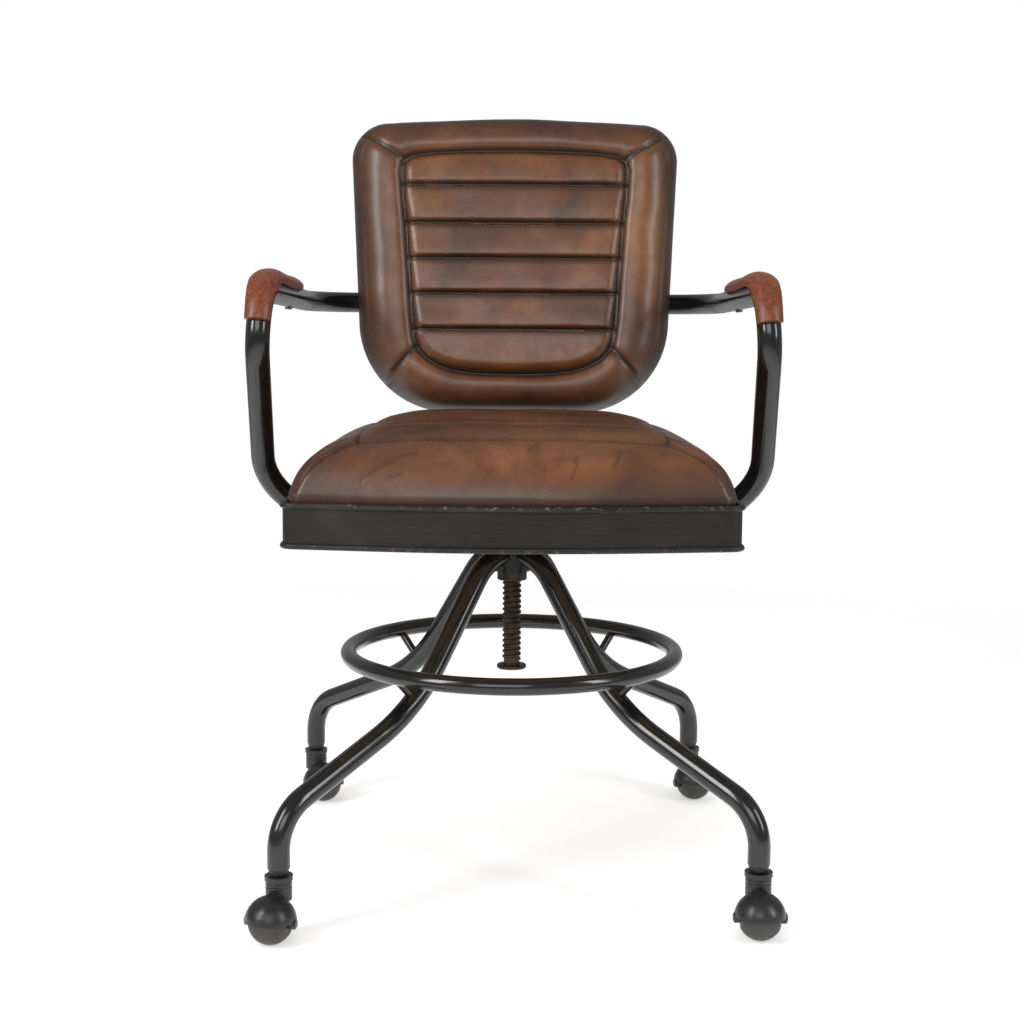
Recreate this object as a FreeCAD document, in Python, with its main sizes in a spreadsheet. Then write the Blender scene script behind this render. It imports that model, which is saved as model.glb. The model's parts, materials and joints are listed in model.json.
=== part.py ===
import FreeCAD, Part
import Sketcher

import math
import os

from FreeCAD import Placement, Rotation, Vector

# Swivel office chair. Millimetres, +Z up, the sitter faces -Y.
# The origin is on the floor, on the axis of the threaded spindle that the seat turns on.

doc = FreeCAD.newDocument("SwivelChair")
sheet = doc.addObject("Spreadsheet::Sheet", "Sizes")

# alias, value, meaning. Lengths in millimetres, angles in degrees.
SIZES = [
    ("base_turn", 2.4, "turn of the four-leg base under the seat, as it stands at rest"),
    # spindle and hub
    ("thread_radius", 10.5, "crest radius of the coarse spindle thread"),
    ("thread_depth", 1.6, "crest to root"),
    ("thread_pitch", 6.0, "rise of the seat in one turn"),
    ("thread_foot_share", 0.36, "half width of the thread's foot, as a share of the pitch"),
    ("thread_crest_share", 0.16, "half width of the thread's crest, as a share of the pitch"),
    ("thread_rooting", 0.3, "depth by which the thread is sunk into the spindle's core"),
    ("running_gap", 0.05, "radial clearance of every turning fit"),
    ("spindle_foot", 224.0, "height of the spindle's lower end with the seat at its lowest"),
    ("plate_bottom", 381.0, "height of the underside of the seat plate"),
    ("nut_bottom", 321.0, "height of the underside of the nut flange"),
    ("nut_flange", 10.0, "thickness of the nut flange"),
    ("nut_flange_radius", 16.6, "outer radius of the nut flange"),
    ("nut_neck_radius", 15.0, "outer radius of the nut's neck and bore radius of the hub"),
    ("nut_neck_length", 34.0, "length of nut inside the hub"),
    ("hub_radius", 20.0, "outer radius of the hub tube that the legs are welded to"),
    ("stop_gap", 1.0, "air between the hub and the seat plate at the lowest setting"),
    ("washer_radius", 16.6, "outer radius of the stop washer"),
    ("washer_thickness", 4.0, "thickness of the stop washer"),
    ("washer_play", 0.1, "end play of the stop washer"),
    ("stop_screw_radius", 4.0, "radius of the screw that keeps the stop washer on"),
    ("stop_screw_depth", 20.0, "length of that screw inside the spindle"),
    ("stop_head_radius", 7.0, "head radius of that screw"),
    ("stop_head_height", 1.8, "head height of that screw"),
    # legs, in the vertical plane of each leg
    ("leg_radius", 11.5, "outer radius of the leg tube"),
    ("leg_wall", 2.0, "wall of the leg tube"),
    ("leg_top", 350.0, "height of the leg's centre line at the hub"),
    ("leg_shoulder", 40.5, "distance from the axis where the leg turns down"),
    ("leg_knee_out", 151.4, "distance from the axis of the knee below the ring"),
    ("leg_knee_up", 198.2, "height of the knee"),
    ("leg_ankle_up", 121.3, "height of the ankle, above the caster"),
    ("leg_end", 70.0, "height of the leg's open lower end"),
    ("foot_radius", 339.4, "distance from the axis to each caster's stem"),
    ("shoulder_bend", 58.7, "bend radius at the hub"),
    ("knee_bend", 208.4, "bend radius at the knee"),
    ("ankle_bend", 52.0, "bend radius at the ankle"),
    # footrest
    ("ring_radius", 183.5, "centre-line radius of the footrest ring"),
    ("ring_tube", 9.0, "tube radius of the footrest ring"),
    ("ring_up", 239.0, "height of the ring's centre line"),
    ("strut_radius", 4.5, "radius of the struts between legs and ring"),
    ("strut_foot_out", 152.0, "distance from the axis of the strut's foot, inside the leg"),
    ("strut_foot_up", 208.5, "height of the strut's foot"),
    # casters
    ("ball_radius", 22.5, "radius of the caster ball"),
    ("ball_flat", 19.5, "half width of the ball between its two flats"),
    ("caster_trail", 22.0, "offset of the ball behind the stem"),
    ("hood_gap", 1.1, "air between ball and hood"),
    ("hood_wall", 2.4, "wall of the hood"),
    ("hood_rim", 25.0, "height of the hood's rim"),
    ("hood_ear", 5.6, "radius of the ears that hold the axle"),
    ("neck_radius", 13.2, "radius of the hood's neck"),
    ("neck_bottom", 38.0, "height of the lower end of the neck"),
    ("neck_top", 58.0, "height of the upper end of the neck"),
    ("neck_groove", 0.9, "depth of the two grooves round the neck"),
    ("collar_radius", 14.2, "radius of the collar on top of the neck"),
    ("collar_top", 62.5, "height of the top of the collar"),
    ("stem_radius", 5.0, "radius of the caster stem"),
    ("stem_foot", 50.0, "height of the lower end of the stem"),
    ("stem_top", 88.0, "height of the upper end of the stem"),
    ("socket_radius", 9.2, "outer radius of the socket inside the leg"),
    ("socket_top", 89.0, "height of the upper end of the socket"),
    ("socket_flange", 6.0, "how far the socket's flange reaches below the leg"),
    ("socket_flange_radius", 9.4, "radius of that flange at its lower end"),
    ("axle_radius", 2.5, "radius of the ball's axle"),
    ("axle_head_radius", 3.6, "head radius of the axle"),
    ("axle_head", 1.2, "head height of the axle"),
    # seat tray
    ("tray_half_width", 230.0, "half width over the tray's side walls"),
    ("tray_front", 207.4, "distance in front of the axis of the tray's front corners"),
    ("tray_bow", 34.0, "how far the front's crown lies ahead of its corners"),
    ("tray_back", 215.0, "distance behind the axis of the tray's rear wall"),
    ("tray_front_corner", 14.0, "radius of the front corners"),
    ("tray_rear_corner", 130.0, "radius of the rear corners"),
    ("tray_bow_radius", 880.0, "radius of the bowed front"),
    ("tray_wall", 1.5, "sheet thickness"),
    ("tray_bottom", 384.5, "height of the wall's lower edge"),
    ("tray_top", 428.0, "height of the wall's upper edge"),
    ("bead_radius", 3.0, "radius of the rolled beads"),
    ("rail_width", 30.0, "width of the two cross rails"),
    ("rail_height", 20.0, "height of the cross rails"),
    ("rail_wall", 1.5, "wall of the cross rails"),
    ("rail_spacing", 96.0, "distance between the cross rails"),
    ("plate_size", 130.0, "side of the square seat plate"),
    ("plate_thickness", 4.0, "thickness of the seat plate"),
    ("plate_corner", 12.0, "corner radius of the seat plate"),
    ("plate_bolt_radius", 4.0, "radius of the plate bolts"),
    ("plate_bolt_head", 6.5, "head radius of the plate bolts"),
    ("plate_bolt_head_height", 4.5, "head height of the plate bolts"),
    ("board_thickness", 12.0, "thickness of the plywood seat board"),
    ("board_gap", 1.0, "air between the board and the tray wall"),
    ("board_screw_radius", 2.5, "radius of the board screws"),
    ("board_screw_head", 5.0, "head radius of the board screws"),
    ("board_screw_reach", 160.0, "sideways distance of the board screws from the middle"),
    # upholstery
    ("seat_crown", 507.0, "height of the seat's crown"),
    ("leather_thickness", 1.6, "thickness of the leather"),
    ("back_bottom", 499.0, "height of the lower edge of the back"),
    ("back_height", 364.0, "length of the back along its slope"),
    ("back_lower_width", 187.5, "half width of the back, sides drawn down to its lower edge"),
    ("back_upper_width", 204.5, "half width of the back, sides drawn up to its upper edge"),
    ("back_lower_corner", 114.0, "radius of the lower corners"),
    ("back_upper_corner", 46.0, "radius of the upper corners"),
    ("back_crown", 6.5, "rise of the upper edge's crown"),
    ("back_front", 191.0, "distance behind the axis of the front of the back, at its foot"),
    ("back_thickness", 54.0, "thickness of the back without its rear panel"),
    ("back_slope", 6.3, "lean of the back from upright"),
    ("back_board_thickness", 10.0, "thickness of the plywood in the back"),
    ("back_panel_thickness", 3.0, "thickness of the leather panel that closes the back"),
    # arm hoop
    ("arm_radius", 12.5, "outer radius of the arm tube"),
    ("arm_wall", 1.8, "wall of the arm tube"),
    ("arm_foot_up", 398.0, "height of the hoop's end on the tray wall"),
    ("arm_foot_back", -44.0, "position of the hoop's end along the tray, behind the axis"),
    ("arm_foot_sunk", 12.0, "how far inside the tray's face the hoop's end is drawn before coping"),
    ("arm_elbow_ahead", 6.0, "how far the lower bend lies ahead of the hoop's end"),
    ("arm_elbow_out", 40.0, "how far the lower bend lies outside the tray's side"),
    ("arm_elbow_up", 434.0, "height of the lower bend"),
    ("arm_front_out", 27.0, "how far the front bend and the armrest lie outside the tray's side"),
    ("arm_front", 190.0, "distance in front of the axis of the front bend"),
    ("arm_front_up", 642.0, "height of the front bend"),
    ("hoop_back_up", 631.0, "height of the hoop behind the back"),
    ("elbow_bend", 62.0, "bend radius of the lower bend"),
    ("front_bend", 45.0, "bend radius of the front bend"),
    ("rear_bend", 75.0, "bend radius of the two rear bends"),
    ("back_plate_width", 44.0, "width of the plates that join hoop and back"),
    ("back_plate_height", 70.0, "height of those plates"),
    ("back_plate_thickness", 4.0, "thickness of those plates"),
    ("back_plate_spacing", 180.0, "distance between those plates"),
    ("back_bolt_radius", 3.0, "radius of the bolts through those plates"),
    ("back_bolt_head", 6.0, "head radius of those bolts"),
    ("back_bolt_spacing", 50.0, "distance between the two bolts of a plate"),
    # wooden armrests
    ("cap_half_width", 15.5, "half width of the wooden armrests"),
    ("cap_top", 22.5, "height of the armrest's top above the tube's centre line"),
    ("cap_bottom", 8.0, "height of the armrest's lower edge above the tube's centre line"),
    ("cap_rear", 90.0, "position of the armrest's rear end, behind the axis"),
    ("cap_front_sweep", 76.0, "angle of the front bend that the armrest covers"),
    ("cap_screw_radius", 2.2, "radius of the armrest screws"),
    ("cap_screw_head", 4.4, "radius of their heads"),
    ("cap_screw_head_height", 2.6, "height of their heads"),
    ("cap_screw_cover", 4.0, "wood left above their tips"),
]

for row, (alias, value, meaning) in enumerate(SIZES, start=1):
    sheet.set(f"A{row}", meaning)
    sheet.set(f"B{row}", str(value))
    sheet.setAlias(f"B{row}", alias)
doc.recompute()

UP = Vector(0, 0, 1)
LEGS = {"rear_right": 45, "rear_left": 135, "front_left": 225, "front_right": 315}
CASTER_ANGLES = {"rear_right": -75, "rear_left": -60, "front_left": -104, "front_right": -92}
SIDES = {"left": -1, "right": 1}
parts = []


def size(alias):
    """The value of one cell of the sheet."""
    return float(sheet.get(alias))


def cells(expression):
    """An expression on the sheet's aliases, written as FreeCAD wants it."""
    for alias in sorted((entry[0] for entry in SIZES), key=len, reverse=True):
        marked = f"<{alias}>"
        expression = expression.replace(marked, f"Sizes.{alias}")
    return expression


def bind(thing, **expressions):
    """Ties properties of an object to expressions on the sheet."""
    for prop, expression in expressions.items():
        thing.setExpression(prop.replace("__", "."), cells(expression))
    return thing


def place(thing, x="0", y="0", z="0"):
    """Ties an object's position to expressions on the sheet."""
    return bind(thing, Placement__Base__x=x, Placement__Base__y=y, Placement__Base__z=z)


def part(thing, label):
    """Marks an object as one sub-part of the chair."""
    thing.Label = label
    parts.append(thing)
    return thing


def cylinder(name, radius, height, z="0", x="0", y="0", rotation=None):
    thing = doc.addObject("Part::Cylinder", name)
    if rotation:
        thing.Placement = Placement(Vector(), rotation)
    bind(thing, Radius=radius, Height=height)
    return place(thing, x, y, z)


def box(name, length, width, height, x, y, z):
    thing = doc.addObject("Part::Box", name)
    bind(thing, Length=length, Width=width, Height=height)
    return place(thing, x, y, z)


def sphere(name, radius, x, z):
    thing = doc.addObject("Part::Sphere", name)
    bind(thing, Radius=radius)
    return place(thing, x, "0", z)


def cut(name, base, tool):
    thing = doc.addObject("Part::Cut", name)
    thing.Base = base
    thing.Tool = tool
    return thing


def fuse(name, pieces):
    thing = doc.addObject("Part::MultiFuse", name)
    thing.Shapes = pieces
    return thing


def group(name, pieces):
    """Several separate solids that make up one sub-part."""
    thing = doc.addObject("Part::Compound", name)
    thing.Links = pieces
    return thing


def fixed_shape(name, shape):
    """An outline or path worked out by this script from the sheet's values."""
    thing = doc.addObject("Part::Feature", name)
    thing.Shape = shape
    return thing


def turned(label, corners):
    """A body of revolution about Z: its profile's corners are (radius, height) expressions."""
    body = doc.addObject("PartDesign::Body", label)
    plane = next(o for o in body.Origin.OriginFeatures if o.Role == "XZ_Plane")
    sketch = body.newObject("Sketcher::SketchObject", label + "_profile")
    sketch.AttachmentSupport = [(plane, "")]
    sketch.MapMode = "FlatFace"
    points = [Vector(*(sheet.evalExpression(cells(c)) for c in corner), 0) for corner in corners]
    count = len(points)
    for index in range(count):
        edge = Part.LineSegment(points[index], points[(index + 1) % count])
        sketch.addGeometry(edge, False)
    for index, corner in enumerate(corners):
        before = (index - 1) % count
        sketch.addConstraint(Sketcher.Constraint("Coincident", before, 2, index, 1))
        for kind, value, expression in zip(("DistanceX", "DistanceY"), points[index], corner):
            number = sketch.addConstraint(Sketcher.Constraint(kind, -1, 1, index, 1, value))
            sketch.setExpression(f"Constraints[{number}]", cells(expression))
    revolution = body.newObject("PartDesign::Revolution", label + "_turned")
    revolution.Profile = sketch
    revolution.ReferenceAxis = (sketch, ["V_Axis"])
    revolution.Angle = 360.0
    sketch.Visibility = False
    return body


def rounded_edges(points, radii, closed):
    """Straight edges through the points, with a tangent arc of the given radius at each corner."""
    count = len(points)
    starts, ends, arcs = {}, {}, {}
    for index in range(count) if closed else range(1, count - 1):
        corner = points[index]
        back = (points[index - 1] - corner).normalize()
        ahead = (points[(index + 1) % count] - corner).normalize()
        half = back.getAngle(ahead) / 2
        reach = radii[index] / math.tan(half)
        middle = (back + ahead).normalize()
        depth = radii[index] / math.sin(half) - radii[index]
        ends[index] = corner + back * reach
        starts[index] = corner + ahead * reach
        arcs[index] = Part.Arc(ends[index], corner + middle * depth, starts[index]).toShape()
    edges = []
    for index in range(count if closed else count - 1):
        after = (index + 1) % count
        start = starts.get(index, points[index])
        end = ends.get(after, points[after])
        if index in arcs:
            edges.append(arcs[index])
        edges.append(Part.makeLine(start, end))
    return edges


def rounded_path(name, points, radii):
    return fixed_shape(name, Part.Wire(rounded_edges(points, [0, *radii, 0], closed=False)))


def rounded_outline(points, radii):
    return Part.Wire(rounded_edges(points, radii, closed=True))


def pipe(name, path, radius):
    """A round bar along a path. Its section stands square on the path's first edge."""
    first = path.Shape.OrderedEdges[0]
    section = doc.addObject("Part::Circle", name + "_section")
    turn = Rotation(UP, first.tangentAt(first.FirstParameter))
    section.Placement = Placement(first.valueAt(first.FirstParameter), turn)
    bind(section, Radius=radius)
    sweep = doc.addObject("Part::Sweep", name)
    sweep.Sections = [section]
    sweep.Spine = (path, [f"Edge{i + 1}" for i in range(len(path.Shape.Edges))])
    sweep.Solid = True
    sweep.Frenet = False
    return sweep


def turn_with_base(thing, angle):
    """Turns a piece of the base about the chair's axis."""
    thing.Placement = Placement(Vector(), Rotation(UP, angle))
    return bind(thing, Placement__Rotation__Angle=f"{angle} + <base_turn>")


# ---------------------------------------------------------------- hub, nut and spindle


def make_hub():
    height = "<plate_bottom> - <stop_gap> - <nut_bottom> - <nut_flange>"
    floor = "<nut_bottom> + <nut_flange>"
    outside = cylinder("hub_outside", "<hub_radius>", height, floor)
    bore = cylinder("hub_bore", "<nut_neck_radius>", height, floor)
    part(cut("hub", outside, bore), "hub_tube")


def make_nut():
    bore = "<thread_radius> + <running_gap>"
    shoulder = "<nut_bottom> + <nut_flange>"
    top = "<nut_bottom> + <nut_flange> + <nut_neck_length>"
    corners = [
        (bore, "<nut_bottom>"),
        ("<nut_flange_radius> - 1", "<nut_bottom>"),
        ("<nut_flange_radius>", "<nut_bottom> + 1"),
        ("<nut_flange_radius>", shoulder),
        ("<nut_neck_radius>", shoulder),
        ("<nut_neck_radius>", top),
        (bore, top),
    ]
    part(turned("spindle_nut", corners), "spindle_nut")


def make_spindle():
    """A coarse screw: a round core with one helical ridge wound on it, and a tapped foot."""
    root = size("thread_radius") - size("thread_depth")
    pitch = size("thread_pitch")
    length = "<plate_bottom> - <spindle_foot>"
    helix = doc.addObject("Part::Helix", "thread_path")
    bind(helix, Pitch="<thread_pitch>", Radius="<thread_radius> - <thread_depth>")
    bind(helix, Height=f"{length} - 2 * <thread_pitch>")
    place(helix, z="<spindle_foot> + <thread_pitch>")
    foot = size("spindle_foot") + pitch
    sunk = root - size("thread_rooting")
    wide = size("thread_foot_share") * pitch
    narrow = size("thread_crest_share") * pitch
    ridge = [
        Vector(sunk, 0, foot - wide),
        Vector(size("thread_radius"), 0, foot - narrow),
        Vector(size("thread_radius"), 0, foot + narrow),
        Vector(sunk, 0, foot + wide),
    ]
    profile = fixed_shape("thread_profile", Part.makePolygon([*ridge, ridge[0]]))
    thread = doc.addObject("Part::Sweep", "thread")
    thread.Sections = [profile]
    doc.recompute()
    thread.Spine = (helix, [f"Edge{i + 1}" for i in range(len(helix.Shape.Edges))])
    thread.Solid = True
    thread.Frenet = True
    core = cylinder("spindle_core", "<thread_radius> - <thread_depth>", length, "<spindle_foot>")
    bore = cylinder("spindle_bore", "<stop_screw_radius>", "<stop_screw_depth>", "<spindle_foot>")
    solid = fuse("spindle_solid", [core, thread])
    part(cut("spindle", solid, bore), "threaded_spindle")


def make_stop():
    """The washer under the spindle that meets the nut at the highest setting, and its screw."""
    top = "<spindle_foot> - <washer_play>"
    bottom = f"{top} - <washer_thickness>"
    hole = "<stop_screw_radius> + <running_gap>"
    corners = [
        (hole, bottom),
        ("<washer_radius> - 0.8", bottom),
        ("<washer_radius>", f"{bottom} + 0.8"),
        ("<washer_radius>", f"{top} - 0.8"),
        ("<washer_radius> - 0.8", top),
        (hole, top),
    ]
    part(turned("stop_washer", corners), "stop_washer")
    head_top = f"{bottom} - <washer_play>"
    head_bottom = f"{head_top} - <stop_head_height>"
    corners = [
        ("0", head_bottom),
        ("<stop_head_radius> - 0.8", head_bottom),
        ("<stop_head_radius>", f"{head_bottom} + 0.8"),
        ("<stop_head_radius>", head_top),
        ("<stop_screw_radius>", head_top),
        ("<stop_screw_radius>", "<spindle_foot> + <stop_screw_depth>"),
        ("0", "<spindle_foot> + <stop_screw_depth>"),
    ]
    part(turned("stop_screw", corners), "stop_screw")


# ---------------------------------------------------------------- legs and footrest


def leg_path(name):
    """The leg's centre line in the XZ plane: out of the hub, down, flared out, down to the caster."""
    shoulder = Vector(size("leg_shoulder"), 0, size("leg_top"))
    knee = Vector(size("leg_knee_out"), 0, size("leg_knee_up"))
    ankle = Vector(size("foot_radius"), 0, size("leg_ankle_up"))
    end = Vector(size("foot_radius"), 0, size("leg_end"))
    half_turn = (knee - shoulder).getAngle(Vector(1, 0, 0)) / 2
    before_bend = size("shoulder_bend") * math.tan(half_turn) + 1
    start = Vector(shoulder.x - before_bend, 0, shoulder.z)
    bends = [size("shoulder_bend"), size("knee_bend"), size("ankle_bend")]
    return rounded_path(name, [start, shoulder, knee, ankle, end], bends)


def make_leg(corner, angle):
    """One bent leg tube, coped round the hub, and the strut that carries the ring on it."""
    name = "leg_" + corner
    path = leg_path(name + "_path")
    outside = pipe(name + "_outside", path, "<leg_radius>")
    inside = pipe(name + "_inside", path, "<leg_radius> - <leg_wall>")
    tube = cut(name + "_tube", outside, inside)
    hub = cylinder(name + "_cope", "<hub_radius>", "<plate_bottom>")
    part(turn_with_base(cut(name, tube, hub), angle), name)

    name = "footrest_strut_" + corner
    rise = "(<ring_up> - <strut_foot_up>)"
    out = "(<ring_radius> - <strut_foot_out>)"
    rod = cylinder(name + "_rod", "<strut_radius>", f"sqrt({rise}^2 + {out}^2)")
    rod.Placement = Placement(Vector(), Rotation(Vector(0, 1, 0), 45))
    place(rod, "<strut_foot_out>", "0", "<strut_foot_up>")
    bind(rod, Placement__Rotation__Angle=f"atan({out} / {rise})")
    ring = doc.addObject("Part::Torus", name + "_ring")
    bind(ring, Radius1="<ring_radius>", Radius2="<ring_tube>")
    place(ring, z="<ring_up>")
    clear_of_leg = cut(name + "_upper", rod, outside)
    part(turn_with_base(cut(name, clear_of_leg, ring), angle), name)


def make_ring():
    ring = doc.addObject("Part::Torus", "footrest")
    bind(ring, Radius1="<ring_radius>", Radius2="<ring_tube>")
    part(place(ring, z="<ring_up>"), "footrest_ring")


# ---------------------------------------------------------------- casters


def at_foot(thing, label, angle, turn):
    """Stands a caster piece, drawn about its own stem, under its leg."""
    thing.Placement = Placement(Vector(), Rotation(UP, turn))
    place(
        thing,
        f"<foot_radius> * cos({angle} + <base_turn>)",
        f"<foot_radius> * sin({angle} + <base_turn>)",
    )
    return part(thing, label)


def across(name, radius, length):
    """A round bar along the ball's axle, centred on the ball."""
    turn = Rotation(Vector(1, 0, 0), 90)
    middle = f"({length}) / 2"
    return cylinder(name, radius, length, "<ball_radius>", "<caster_trail>", middle, turn)


def make_hood(name):
    """Half-round hood over the ball, with a ribbed neck, a collar and two ears for the axle."""
    inner = "<ball_radius> + <hood_gap>"
    outer = f"{inner} + <hood_wall>"
    dome = sphere(name + "_dome", outer, "<caster_trail>", "<ball_radius>")
    hollow = sphere(name + "_hollow", inner, "<caster_trail>", "<ball_radius>")
    band = "(<neck_top> - <neck_bottom>) / 5"
    neck = cylinder(name + "_neck", "<neck_radius>", "<neck_top> - <neck_bottom>", "<neck_bottom>")
    collar = cylinder(
        name + "_collar", "<collar_radius>", "<collar_top> - <neck_top>", "<neck_top>"
    )
    bulk = fuse(name + "_bulk", [dome, neck, collar])
    hollowed = cut(name + "_hollowed", bulk, hollow)
    span = "4 * <ball_radius>"
    low = box(
        name + "_below", span, span, "<hood_rim> + <ball_radius>",
        "<caster_trail> - 2 * <ball_radius>", "-2 * <ball_radius>", "-<ball_radius>",
    )
    open_shell = cut(name + "_open", hollowed, low)
    ears = across(name + "_ears", "<hood_ear>", f"2 * ({outer})")
    between = across(name + "_between", "<hood_ear> + 1", "2 * (<ball_flat> + 0.6)")
    ears = cut(name + "_ear_pair", ears, between)
    body = fuse(name + "_body", [open_shell, ears])
    grooves = []
    for index in (3, 4):
        ring = doc.addObject("Part::Torus", f"{name}_groove_{index}")
        bind(ring, Radius1="<neck_radius> + <neck_groove> / 2", Radius2="<neck_groove>")
        grooves.append(place(ring, z=f"<neck_bottom> + {index} * {band} + 2"))
    axle = across(name + "_axle_hole", "<axle_radius>", "3 * <ball_radius>")
    stem = cylinder(name + "_stem_hole", "<stem_radius>", "<collar_top>", "<stem_foot>")
    return cut(name, body, fuse(name + "_holes", [*grooves, axle, stem]))


def make_axle(name):
    half = "(<ball_radius> + <hood_gap> + <hood_wall>)"
    pin = across(name + "_pin", "<axle_radius>", f"2 * {half}")
    heads = across(name + "_heads", "<axle_head_radius>", f"2 * ({half} + <axle_head>)")
    gap = across(name + "_gap", "2 * <axle_head_radius>", f"2 * {half}")
    return fuse(name, [pin, cut(name + "_ends", heads, gap)])


def make_ball(name):
    ball = sphere(name + "_sphere", "<ball_radius>", "<caster_trail>", "<ball_radius>")
    slab = across(name + "_slab", "2 * <ball_radius>", "2 * <ball_flat>")
    flatted = doc.addObject("Part::MultiCommon", name + "_flatted")
    flatted.Shapes = [ball, slab]
    bore = across(name + "_bore", "<axle_radius> + <running_gap>", "3 * <ball_radius>")
    return cut(name, flatted, bore)


def make_caster(corner, angle):
    turn = CASTER_ANGLES[corner]
    bore = "<stem_radius> + <running_gap>"
    rim = "<leg_end> - <socket_flange>"
    socket = turned(
        "caster_socket_" + corner,
        [
            (bore, rim),
            ("<socket_flange_radius>", rim),
            ("<leg_radius> - 0.7", "<leg_end>"),
            ("<socket_radius>", "<leg_end>"),
            ("<socket_radius>", "<socket_top> - 2"),
            ("<socket_radius> - 1", "<socket_top>"),
            (bore, "<socket_top>"),
        ],
    )
    at_foot(socket, "caster_socket_" + corner, angle, turn)
    stem = turned(
        "caster_stem_" + corner,
        [
            ("0", "<stem_foot>"),
            ("<stem_radius>", "<stem_foot>"),
            ("<stem_radius>", "<stem_top> - 1"),
            ("<stem_radius> - 1", "<stem_top>"),
            ("0", "<stem_top>"),
        ],
    )
    at_foot(stem, "caster_stem_" + corner, angle, turn)
    at_foot(make_hood("hood_" + corner), "caster_hood_" + corner, angle, turn)
    at_foot(make_axle("axle_" + corner), "caster_axle_" + corner, angle, turn)
    at_foot(make_ball("ball_" + corner), "caster_ball_" + corner, angle, turn)


# ---------------------------------------------------------------- seat tray and board


def seat_outline(inset, up):
    """The seat's plan: bowed front, straight sides, widely rounded rear, drawn in by an inset."""
    wide = size("tray_half_width") - inset
    share = wide / size("tray_half_width")
    front = -size("tray_front") + inset
    rear = size("tray_back") - inset
    bow = size("tray_bow") * share
    corners = [
        Vector(0, front - bow, up),
        Vector(wide, front, up),
        Vector(wide, rear, up),
        Vector(-wide, rear, up),
        Vector(-wide, front, up),
    ]
    front_corner = size("tray_front_corner") + 0.15 * inset
    rear_corner = size("tray_rear_corner") - 0.4 * inset
    bow_radius = size("tray_bow_radius") * share
    radii = [bow_radius, front_corner, rear_corner, rear_corner, front_corner]
    return rounded_outline(corners, radii)


def slab(name, outline, thickness):
    """A flat outline given a thickness upwards."""
    thing = doc.addObject("Part::Extrusion", name)
    thing.Base = fixed_shape(name + "_outline", outline)
    thing.DirMode = "Custom"
    thing.Dir = UP
    thing.Solid = True
    return bind(thing, LengthFwd=thickness)


def bead(name, up):
    """A rolled bead round the tray, centred on its outer face."""
    path = fixed_shape(name + "_path", seat_outline(0, up))
    return pipe(name, path, "<bead_radius>")


def make_tray():
    """Folded sheet band with a rolled bead along both edges."""
    low = size("tray_bottom")
    deep = "<tray_top> - <tray_bottom>"
    outside = slab("tray_outside", seat_outline(0, low), deep)
    inside = slab("tray_inside", seat_outline(size("tray_wall"), low), deep)
    band = cut("tray_wall_band", outside, inside)
    lower = bead("tray_lower_bead", low + size("bead_radius") / 2)
    upper = bead("tray_upper_bead", size("tray_top") - size("bead_radius") / 2)
    tray = part(fuse("tray", [band, lower, upper]), "tray_band")
    return tray, outside, [lower, upper]


def bolt(name, x, y, head_radius, head_height, radius, under, tip):
    """A bolt from below: its head under the given height, its shank up to the tip."""
    head = cylinder(name + "_head", head_radius, head_height, f"{under} - {head_height}", x, y)
    shank = cylinder(name + "_shank", radius, f"{tip} - ({under})", under, x, y)
    return fuse(name, [head, shank]), shank


def make_seat_frame(tray):
    """Two box rails across the tray, the seat plate bolted under them and the board on top."""
    rail_floor = "<plate_bottom> + <plate_thickness>"
    board_floor = f"{rail_floor} + <rail_height>"
    reach = "<plate_size> / 2 - <plate_corner> - 3"
    bolts, bolt_shanks = [], []
    screws, screw_shanks = [], []
    for row, along in (("front", "-<rail_spacing> / 2"), ("rear", "<rail_spacing> / 2")):
        for side, sign in SIDES.items():
            made, shank = bolt(
                f"plate_bolt_{row}_{side}", f"{sign} * ({reach})", along,
                "<plate_bolt_head>", "<plate_bolt_head_height>", "<plate_bolt_radius>",
                "<plate_bottom>", f"{rail_floor} + <rail_height> - <rail_wall> - 2",
            )
            bolts.append(made)
            bolt_shanks.append(shank)
            made, shank = bolt(
                f"board_screw_{row}_{side}", f"{sign} * <board_screw_reach>", along,
                "<board_screw_head>", "2", "<board_screw_radius>",
                rail_floor, f"{board_floor} + <board_thickness> - 3",
            )
            screws.append(made)
            screw_shanks.append(shank)
    part(group("plate_bolt_group", bolts), "seat_plate_bolts")
    part(group("board_screw_group", screws), "seat_board_screws")
    shanks = fuse("seat_shanks", bolt_shanks + screw_shanks)

    plate_edges = [
        Vector(sx * size("plate_size") / 2, sy * size("plate_size") / 2, size("plate_bottom"))
        for sx, sy in ((-1, -1), (1, -1), (1, 1), (-1, 1))
    ]
    plate_outline = rounded_outline(plate_edges, [size("plate_corner")] * 4)
    plate = slab("plate_blank", plate_outline, "<plate_thickness>")
    part(cut("plate", plate, shanks), "seat_plate")

    inner_half = "(<tray_half_width> - <tray_wall>)"
    for row, sign in (("front", -1), ("rear", 1)):
        name = "seat_rail_" + row
        length = f"2 * {inner_half}"
        middle = f"{sign} * <rail_spacing> / 2 - <rail_width> / 2"
        outside = box(
            name + "_outside", length, "<rail_width>", "<rail_height>",
            f"-{inner_half}", middle, rail_floor,
        )
        hollow = box(
            name + "_hollow", length, "<rail_width> - 2 * <rail_wall>",
            "<rail_height> - 2 * <rail_wall>", f"-{inner_half}",
            f"{middle} + <rail_wall>", f"{rail_floor} + <rail_wall>",
        )
        coped = cut(name + "_coped", cut(name + "_tube", outside, hollow), tray)
        part(cut(name, coped, shanks), name)

    inset = size("tray_wall") + size("bead_radius") + size("board_gap")
    up = size("plate_bottom") + size("plate_thickness") + size("rail_height")
    board = slab("board_blank", seat_outline(inset, up), "<board_thickness>")
    part(cut("board", board, shanks), "seat_board")


# ---------------------------------------------------------------- upholstery


def loft(name, outlines):
    return fixed_shape(name, Part.makeLoft(outlines, True, False))


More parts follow.
